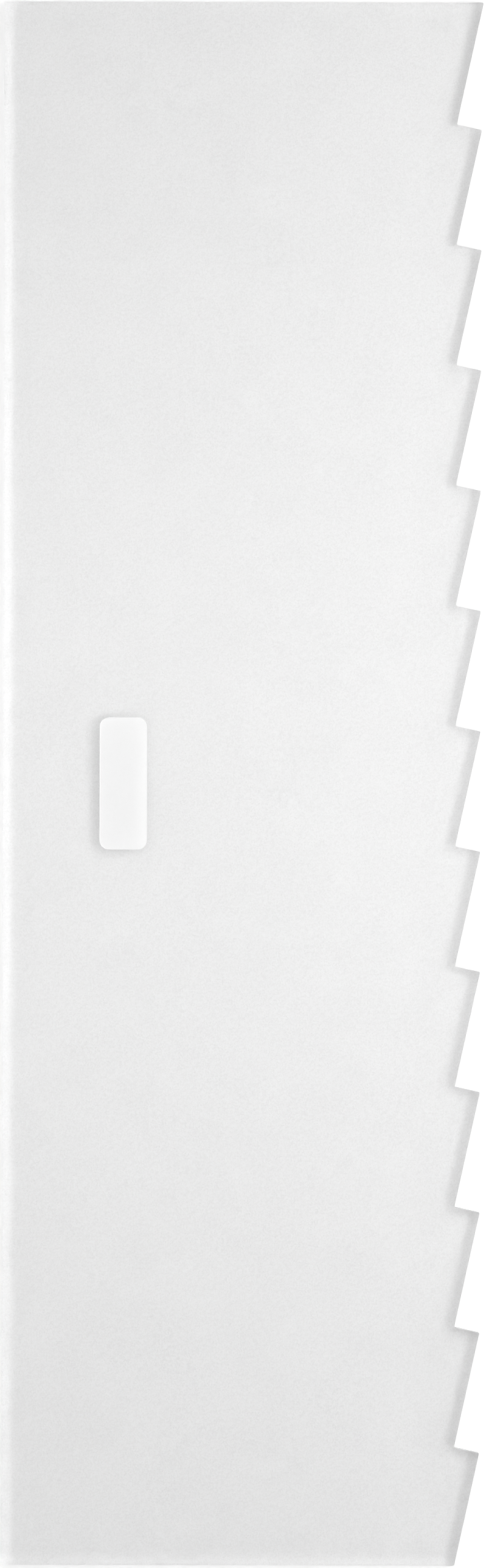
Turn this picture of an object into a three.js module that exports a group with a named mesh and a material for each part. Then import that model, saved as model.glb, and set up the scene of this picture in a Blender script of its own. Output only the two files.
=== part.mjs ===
// Tall cake side scraper: one flat blade of frosted plastic, moulded in one piece. One long edge is straight.
// The other runs in right-angled steps, which leave overlapping pleats in the icing round a cake.
// Millimetres, +Z up. The blade lies on its back: X runs across it towards the stepped edge and Y along it,
// away from the end that stands on the board. The origin is the middle of its outer box, on the back face.

import * as THREE from 'three';

// Driving dimensions
const bladeLength = 260;
const bodyWidth = 75.4; // from the straight edge to the line of the step roots
const bladeThickness = 3;
const firstRoot = 19.7; // from the board's end to the first root
const stepPitch = 20; // from root to root, along the blade
const stepDepth = 4.3; // the short flank of a step, square to its long flank
const shortestStep = 2; // a last step shorter than this is left out, and the step before it runs on
const edgeRadius = 0.1; // rounds the edges of both faces, all the way round
const cornerFaceRadius = 0.15; // what is left on the flat faces of the rounding of an end's corner
const crestFaceRadius = 0.1; // the same for the outer corner of a step
const rootRadius = 0.2; // the inner corner of a step, at mid thickness
const edgeSegments = 2;
const cornerSegments = 2; // half the facets of each rounded corner

// The steps
const stepAngle = Math.asin(stepDepth / stepPitch); // the long flanks lean out from the blade by this
const crestReach = stepDepth * Math.cos(stepAngle); // crest beyond the line of the roots
const crestDrop = stepDepth * Math.sin(stepAngle); // crest below the root above it
const rootCount = Math.ceil((bladeLength - firstRoot - shortestStep) / stepPitch);
const lastRoot = firstRoot + (rootCount - 1) * stepPitch;
const footReach = (stepPitch - firstRoot) * Math.tan(stepAngle); // the first flank, where the foot cuts it off
const headReach = (bladeLength - lastRoot) * Math.tan(stepAngle); // the last flank, where it runs out

// The blade's outer lines
const outerWidth = bodyWidth + Math.max(crestReach, headReach);
const straightX = -outerWidth / 2;
const rootX = straightX + bodyWidth;
const footY = -bladeLength / 2;
const headY = bladeLength / 2;

// The rounded edge is drawn in from the outline, so a convex corner has that much more radius there.
const cornerRadius = cornerFaceRadius + edgeRadius;
const crestRadius = crestFaceRadius + edgeRadius;

// A corner of an outline and the radius that rounds it off.
function corner(x, y, radius) {
  return { point: new THREE.Vector2(x, y), radius };
}

// The blade's corners, counter-clockwise from the foot of the straight edge.
function bladeCorners() {
  const corners = [corner(straightX, footY, cornerRadius), corner(rootX + footReach, footY, cornerRadius)];
  for (let step = 0; step < rootCount; step++) {
    const rootY = footY + firstRoot + step * stepPitch;
    corners.push(corner(rootX + crestReach, rootY - crestDrop, crestRadius));
    corners.push(corner(rootX, rootY, rootRadius));
  }
  corners.push(corner(rootX + headReach, headY, cornerRadius));
  corners.push(corner(straightX, headY, cornerRadius));
  return corners;
}

// The closed outline through the corners, each rounded by an arc that touches both of its sides.
function roundedOutline(corners) {
  const outline = new THREE.Shape();
  corners.forEach(({ point, radius }, index) => {
    const before = corners.at(index - 1).point;
    const after = corners[(index + 1) % corners.length].point;
    const arriving = point.clone().sub(before).normalize();
    const leaving = after.clone().sub(point).normalize();
    const turn = Math.atan2(arriving.cross(leaving), arriving.dot(leaving));
    const hand = Math.sign(turn); // 1 where the outline turns left, at a convex corner
    const setback = radius * Math.tan(Math.abs(turn) / 2);
    const centre = new THREE.Vector2(-arriving.y, arriving.x)
      .multiplyScalar(hand * radius)
      .addScaledVector(arriving, -setback)
      .add(point);
    const start = arriving.angle() - (hand * Math.PI) / 2;
    outline.absarc(centre.x, centre.y, radius, start, start + turn, turn < 0);
  });
  return outline;
}

// The blade between its two faces, with the edges of both rounded.
function bladeGeometry() {
  const geometry = new THREE.ExtrudeGeometry(roundedOutline(bladeCorners()), {
    depth: bladeThickness - 2 * edgeRadius,
    bevelThickness: edgeRadius,
    bevelSize: edgeRadius,
    bevelOffset: -edgeRadius,
    bevelSegments: edgeSegments,
    curveSegments: cornerSegments,
  });
  return geometry.translate(0, 0, edgeRadius);
}

const frostedPlastic = new THREE.MeshStandardMaterial({
  color: 0xe8e9e9,
  roughness: 0.5,
  metalness: 0,
});

const blade = new THREE.Mesh(bladeGeometry(), frostedPlastic);
blade.name = 'scraper_blade';

const scraper = new THREE.Group();
scraper.add(blade);

export default scraper;
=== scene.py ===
from math import asin, cos, radians, sin, tan

import bmesh
import bpy
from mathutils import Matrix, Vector


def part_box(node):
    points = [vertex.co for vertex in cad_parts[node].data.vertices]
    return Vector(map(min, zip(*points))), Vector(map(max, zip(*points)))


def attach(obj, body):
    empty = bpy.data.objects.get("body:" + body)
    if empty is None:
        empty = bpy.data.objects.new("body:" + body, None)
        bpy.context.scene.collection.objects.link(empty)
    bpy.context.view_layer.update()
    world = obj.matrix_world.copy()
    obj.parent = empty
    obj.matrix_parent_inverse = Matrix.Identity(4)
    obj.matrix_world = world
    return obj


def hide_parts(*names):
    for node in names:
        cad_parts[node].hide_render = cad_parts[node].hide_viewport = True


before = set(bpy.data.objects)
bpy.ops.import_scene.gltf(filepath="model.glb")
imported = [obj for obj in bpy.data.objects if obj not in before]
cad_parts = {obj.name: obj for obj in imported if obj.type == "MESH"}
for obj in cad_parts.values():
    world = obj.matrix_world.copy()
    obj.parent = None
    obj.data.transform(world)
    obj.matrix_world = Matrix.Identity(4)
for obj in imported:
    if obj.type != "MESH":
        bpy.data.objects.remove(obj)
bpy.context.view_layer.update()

bladeLow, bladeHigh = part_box("scraper_blade")
bladeLong = bladeHigh.y - bladeLow.y
mm = 0.001
scene = bpy.context.scene
scene.view_settings.view_transform = "Standard"
scene.cycles.blur_glossy = 0  # light that has passed through the blade keeps its true direction
print("frame loaded, blade", [round(side / mm, 1) for side in bladeHigh - bladeLow], "mm")


# shader maths: a Wire is one output socket, and operators on wires add Math nodes
class Wire:
    def __init__(self, tree, socket=None):
        self.tree = tree
        self.socket = socket

    def node(self, kind, settings=None, inputs=None, output=0):
        made = self.tree.nodes.new(kind)
        for name, value in (settings or {}).items():
            setattr(made, name, value)
        for name, value in (inputs or {}).items():
            if isinstance(value, Wire):
                self.tree.links.new(value.socket, made.inputs[name])
            else:
                made.inputs[name].default_value = value
        return Wire(self.tree, made.outputs[output] if made.outputs else None)

    def maths(self, operation, first, second):
        return self.node("ShaderNodeMath", {"operation": operation}, {0: first, 1: second})

    def __add__(self, other):
        return self.maths("ADD", self, other)

    def __sub__(self, other):
        return self.maths("SUBTRACT", self, other)

    def __rsub__(self, other):
        return self.maths("SUBTRACT", other, self)

    def __mul__(self, other):
        return self.maths("MULTIPLY", self, other)

    def __lt__(self, other):
        return self.maths("LESS_THAN", self, other)

    def __gt__(self, other):
        return self.maths("GREATER_THAN", self, other)

    __radd__ = __add__
    __rmul__ = __mul__


def grey(level):
    return (level, level, level, 1)


def newMaterial(name):
    material = bpy.data.materials.new(name)
    material.use_nodes = True
    material.node_tree.nodes.clear()
    return material, Wire(material.node_tree)


# the place on the piece in millimetres, stretched along an axis by a factor below 1
def placeInMm(start, stretch=(1, 1, 1)):
    place = start.node("ShaderNodeTexCoord", None, None, "Object")
    return start.node("ShaderNodeMapping", None, {"Vector": place, "Scale": [s / mm for s in stretch]})


def noise(start, place, perMm, detail=2.0):
    return start.node("ShaderNodeTexNoise", None, {"Vector": place, "Scale": perMm, "Detail": detail})


# small cells: Color, read as a value, is a random grey for each cell, and Distance grows from its middle
def cells(start, place, perMm, output):
    return start.node("ShaderNodeTexVoronoi", None, {"Vector": place, "Scale": perMm}, output)


patternMiddle = 0.5  # noise and the greys of cells run from about 0 to 1


# how far a pattern lies from its middle, times its strength
def swing(pattern, strength):
    return (pattern - patternMiddle) * strength


# camera: square on to the front face, turned a little, placed by where the blade's edges fall in the picture
# height is in metres, lens in millimetres
view = dict(height=2.4, lens=85.0, pictureWide=799, pictureHigh=2576, turn=radians(0.13),
            leftPixel=3.7, topPixel=3.0, bottomPixel=2572.0)


def addCamera():
    camera = bpy.data.objects.new("camera", bpy.data.cameras.new("camera"))
    scene.collection.objects.link(camera)
    pixel = bladeLong / (view["bottomPixel"] - view["topPixel"])
    x = bladeLow.x + (view["pictureWide"] / 2 - view["leftPixel"]) * pixel
    y = bladeLow.y + (view["bottomPixel"] - view["pictureHigh"] / 2) * pixel
    camera.location = (x, y, bladeHigh.z + view["height"])
    camera.rotation_euler.z = view["turn"]
    camera.data.sensor_fit = "VERTICAL"
    camera.data.lens = view["lens"]
    camera.data.sensor_height = view["lens"] * view["pictureHigh"] * pixel / view["height"]
    scene.camera = camera


addCamera()
print("camera set")


# the blade: a plate drawn from its corners, one long edge in right-angled steps
blade = dict(firstRoot=19.7 * mm, stepPitch=20 * mm, stepDepth=4.3 * mm, cornerRadius=0.28 * mm,
             crestRadius=0.2 * mm, rootRadius=0.2 * mm, rimRadius=0.06 * mm, cornerCuts=6, rimCuts=3)


def bladeCorners():
    lean = asin(blade["stepDepth"] / blade["stepPitch"])
    crestReach = blade["stepDepth"] * cos(lean)
    crestDrop = blade["stepDepth"] * sin(lean)
    roots = round((bladeLong - blade["firstRoot"]) / blade["stepPitch"])
    lastRoot = blade["firstRoot"] + (roots - 1) * blade["stepPitch"]
    footReach = (blade["stepPitch"] - blade["firstRoot"]) * tan(lean)
    headReach = (bladeLong - lastRoot) * tan(lean)
    rootX = -bladeLow.x - headReach  # unrounded, the head's corner is as far out as the straight edge
    corners = [("corner", bladeLow.x, bladeLow.y), ("corner", rootX + footReach, bladeLow.y)]
    for step in range(roots):
        rootY = bladeLow.y + blade["firstRoot"] + step * blade["stepPitch"]
        corners += [("crest", rootX + crestReach, rootY - crestDrop), ("root", rootX, rootY)]
    return corners + [("corner", rootX + headReach, bladeHigh.y), ("corner", bladeLow.x, bladeHigh.y)]


def roundEdges(bm, edges, setback, cuts):
    bmesh.ops.bevel(bm, geom=edges, offset=setback, offset_type="OFFSET", affect="EDGES",
                    segments=cuts, profile=0.5, material=-1, clamp_overlap=True)


# raises a flat face into a slab
def raiseFace(bm, face, height):
    raised = bmesh.ops.extrude_face_region(bm, geom=[face])["geom"]
    top = [part for part in raised if isinstance(part, bmesh.types.BMVert)]
    bmesh.ops.translate(bm, verts=top, vec=(0, 0, height))
    bmesh.ops.recalc_face_normals(bm, faces=bm.faces)


levelEnough = 0.999  # the upright share of a flat face's normal is above this


def flat(face):
    return abs(face.normal.z) > levelEnough


# those of the edges that lie between a flat face and a wall
def rimEdges(edges):
    return [edge for edge in edges if sum(flat(face) for face in edge.link_faces) == 1]


# the upright ones, between one wall and the next
def wallEdges(edges):
    return [edge for edge in edges if not any(flat(face) for face in edge.link_faces)]


def newPiece(name, bm):
    mesh = bpy.data.meshes.new(name)
    bm.to_mesh(mesh)
    bm.free()
    piece = bpy.data.objects.new(name, mesh)
    scene.collection.objects.link(piece)
    return piece


def makeBlade():
    bm = bmesh.new()
    corners = bladeCorners()
    foot = [bm.verts.new((x, y, bladeLow.z)) for kind, x, y in corners]
    raiseFace(bm, bm.faces.new(foot), bladeHigh.z - bladeLow.z)
    for (kind, x, y), vert in zip(corners, foot):
        upright = wallEdges(vert.link_edges)
        setback = blade[kind + "Radius"] * tan(upright[0].calc_face_angle() / 2)
        roundEdges(bm, upright, setback, blade["cornerCuts"])
    roundEdges(bm, rimEdges(bm.edges), blade["rimRadius"], blade["rimCuts"])
    for face in bm.faces:
        face.material_index = 0 if flat(face) else 1  # frosted face or edge wall
    return newPiece("scraperBlade", bm)


bladePiece = makeBlade()
print("blade", len(bladePiece.data.polygons), "faces")

# a plain shallow panel sunk in the front face, near the straight edge at mid length
panel = dict(fromEdge=20.2 * mm, wide=8 * mm, long=22 * mm, depth=0.15 * mm, clear=1 * mm,
             cornerRadius=1.6 * mm, rimRadius=0.12 * mm, cornerCuts=8, rimCuts=3)


# the block that the panel is cut with
def makePanelCutter():
    bm = bmesh.new()
    bmesh.ops.create_grid(bm, x_segments=1, y_segments=1, size=0.5)  # size is half a side
    bmesh.ops.scale(bm, verts=bm.verts, vec=(panel["wide"], panel["long"], 1))
    midLength = (bladeLow.y + bladeHigh.y) / 2
    foot = Vector((bladeLow.x + panel["fromEdge"], midLength, bladeHigh.z - panel["depth"]))
    bmesh.ops.translate(bm, verts=bm.verts, vec=foot)
    raiseFace(bm, bm.faces[:][0], panel["depth"] + panel["clear"])
    roundEdges(bm, wallEdges(bm.edges), panel["cornerRadius"], panel["cornerCuts"])
    lowRim = [edge for edge in rimEdges(bm.edges) if edge.verts[0].co.z < bladeHigh.z]
    roundEdges(bm, lowRim, panel["rimRadius"], panel["rimCuts"])
    return newPiece("panelCutter", bm)


# frosted faces: fine grit, a coarser mottle, a slow drift, and sparse bright specks
frosted = dict(index=1.49, through=1.0, colour=0.94, grit=0.22, gritPerMm=4.6, mottle=0.11, mottlePerMm=0.9,
               drift=0.02, driftPerMm=0.08, speckPerMm=0.35, speckSize=0.035, speckShare=0.25,
               speckLift=0.05, roughness=0.4, roughnessGrain=0.12, grainPerMm=2.4,
               bumpHeight=0.01 * mm, bumpStrength=0.25)


def finishPlastic(start, shader):
    start.node("ShaderNodeOutputMaterial", None, {"Surface": shader})


def frostedFinish():
    material, start = newMaterial("frostedFace")
    place = placeInMm(start)
    grit = cells(start, place, frosted["gritPerMm"], "Color")
    mottle = noise(start, place, frosted["mottlePerMm"])
    drift = noise(start, place, frosted["driftPerMm"])
    near = cells(start, place, frosted["speckPerMm"], "Distance") < frosted["speckSize"]
    chosen = cells(start, place, frosted["speckPerMm"], "Color") < frosted["speckShare"]
    colour = (frosted["colour"] + swing(grit, frosted["grit"]) + swing(mottle, frosted["mottle"])
              + swing(drift, frosted["drift"]) + near * chosen * frosted["speckLift"])
    grain = noise(start, place, frosted["grainPerMm"])
    roughness = frosted["roughness"] + swing(grain, frosted["roughnessGrain"])
    bump = start.node("ShaderNodeBump", None, {
        "Height": grain, "Strength": frosted["bumpStrength"], "Distance": frosted["bumpHeight"]})
    finishPlastic(start, start.node("ShaderNodeBsdfPrincipled", None, {
        "Base Color": colour, "Roughness": roughness, "Normal": bump,
        "IOR": frosted["index"], "Transmission Weight": frosted["through"]}))
    return material


# edges: the same plastic, smoother, with faint marks across the thickness
edgeLook = dict(colour=0.97, streak=0.03, streakPerMm=3.0, streakLength=(1, 1, 0.12),
                roughness=0.1, roughnessStreak=0.12)


def edgeFinish():
    material, start = newMaterial("edgeWall")
    streak = noise(start, placeInMm(start, edgeLook["streakLength"]), edgeLook["streakPerMm"])
    finishPlastic(start, start.node("ShaderNodeBsdfPrincipled", None, {
        "Base Color": edgeLook["colour"] + swing(streak, edgeLook["streak"]),
        "Roughness": edgeLook["roughness"] + streak * edgeLook["roughnessStreak"],
        "IOR": frosted["index"], "Transmission Weight": frosted["through"]}))
    return material


# panel: white and matt, with a fine stipple
panelLook = dict(colour=0.98, stipple=0.04, stipplePerMm=3.0, roughness=0.55, through=0.3,
                 bumpHeight=0.01 * mm, bumpStrength=0.3)


def panelFinish():
    material, start = newMaterial("whitePanel")
    stipple = noise(start, placeInMm(start), panelLook["stipplePerMm"])
    bump = start.node("ShaderNodeBump", None, {
        "Height": stipple, "Strength": panelLook["bumpStrength"], "Distance": panelLook["bumpHeight"]})
    finishPlastic(start, start.node("ShaderNodeBsdfPrincipled", None, {
        "Base Color": panelLook["colour"] + swing(stipple, panelLook["stipple"]),
        "Roughness": panelLook["roughness"], "Normal": bump,
        "IOR": frosted["index"], "Transmission Weight": panelLook["through"]}))
    return material


# cuts the panel, which keeps the cutter's finish
def cutPanel(piece, cutter):
    cut = piece.modifiers.new("panel", "BOOLEAN")
    cut.operation = "DIFFERENCE"
    cut.solver = "EXACT"
    cut.material_mode = "TRANSFER"
    cut.object = cutter
    finished = piece.evaluated_get(bpy.context.evaluated_depsgraph_get())
    piece.data = bpy.data.meshes.new_from_object(finished)
    piece.modifiers.clear()
    bpy.data.objects.remove(cutter)


bladePiece.data.materials.append(frostedFinish())
bladePiece.data.materials.append(edgeFinish())
panelCutter = makePanelCutter()
panelCutter.data.materials.append(panelFinish())
cutPanel(bladePiece, panelCutter)
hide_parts("scraper_blade")
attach(bladePiece, "root")
print("plastic finished")


def lightPath(start, output):
    return start.node("ShaderNodeLightPath", None, None, output)


# 1 where the camera looks, also by a mirror or through the plastic, and 0 for light that falls on something
def lookedAt(start):
    seen = lightPath(start, "Is Camera Ray")
    mirrored = lightPath(start, "Is Glossy Ray")
    through = lightPath(start, "Is Transmission Ray")
    bounces = lightPath(start, "Diffuse Depth")
    return (seen + mirrored + through > 0) * (bounces < 1)


# floor: pale and matt, lifted to white where it is looked at, except right under the blade
# the lift is less near the blade, where the lamps are bright, so that a faint shadow stays
floorLook = dict(half=3.0, drop=0.05 * mm, colour=0.955, contact=2 * mm,
                 nearLift=0.28, farLift=0.4, nearReach=0.2, farReach=0.7)


def addFloor():
    bm = bmesh.new()
    bmesh.ops.create_grid(bm, x_segments=1, y_segments=1, size=floorLook["half"])
    bmesh.ops.translate(bm, verts=bm.verts, vec=(0, 0, bladeLow.z - floorLook["drop"]))
    floor = newPiece("floor", bm)
    material, start = newMaterial("paleFloor")
    matt = start.node("ShaderNodeBsdfDiffuse", None, {"Color": grey(floorLook["colour"])})
    clear = lightPath(start, "Ray Length") > floorLook["contact"]
    place = start.node("ShaderNodeTexCoord", None, None, "Object")
    away = start.node("ShaderNodeVectorMath", {"operation": "LENGTH"}, {0: place}, "Value")
    lift = start.node("ShaderNodeMapRange", None, {
        "Value": away, "From Min": floorLook["nearReach"], "From Max": floorLook["farReach"],
        "To Min": floorLook["nearLift"], "To Max": floorLook["farLift"]})
    glow = start.node("ShaderNodeEmission", None, {"Strength": lookedAt(start) * clear * lift})
    both = start.node("ShaderNodeAddShader", None, {0: matt, 1: glow})
    start.node("ShaderNodeOutputMaterial", None, {"Surface": both})
    floor.data.materials.append(material)


addFloor()

# light: an even pale room, two long lamps on the right, one a little lower, and a small lamp overhead
# places and sizes are in metres, powers in watts
room = dict(strength=0.626)
lamps = dict(sideLamp=dict(place=(0.455, 0.13, 0.505), long=1.0, deep=0.08, power=1.24),
             lowerLamp=dict(place=(0.52, 0.0, 0.437), long=1.0, deep=0.08, power=1.08),
             overheadLamp=dict(place=(0.012, 0.007, 0.12), long=0.19, deep=0.19, power=0.0505))


# lamps face the origin, their long side level
def addLamp(name, spec):
    lamp = bpy.data.objects.new(name, bpy.data.lights.new(name, "AREA"))
    scene.collection.objects.link(lamp)
    lamp.data.shape = "RECTANGLE"
    lamp.data.size = spec["long"]
    lamp.data.size_y = spec["deep"]
    lamp.data.energy = spec["power"]
    lamp.location = spec["place"]
    lamp.rotation_euler = Vector(spec["place"]).to_track_quat("Z", "Y").to_euler()
    lamp.visible_camera = False


# the room is white where it is looked at
def addRoom():
    scene.world = bpy.data.worlds.new("room")
    scene.world.use_nodes = True
    scene.world.node_tree.nodes.clear()
    start = Wire(scene.world.node_tree)
    strength = room["strength"] + lookedAt(start) * (1 - room["strength"])
    background = start.node("ShaderNodeBackground", None, {"Color": grey(1), "Strength": strength})
    start.node("ShaderNodeOutputWorld", None, {"Surface": background})


addRoom()
for lampName, lampSpec in lamps.items():
    addLamp(lampName, lampSpec)
print("floor and light set")
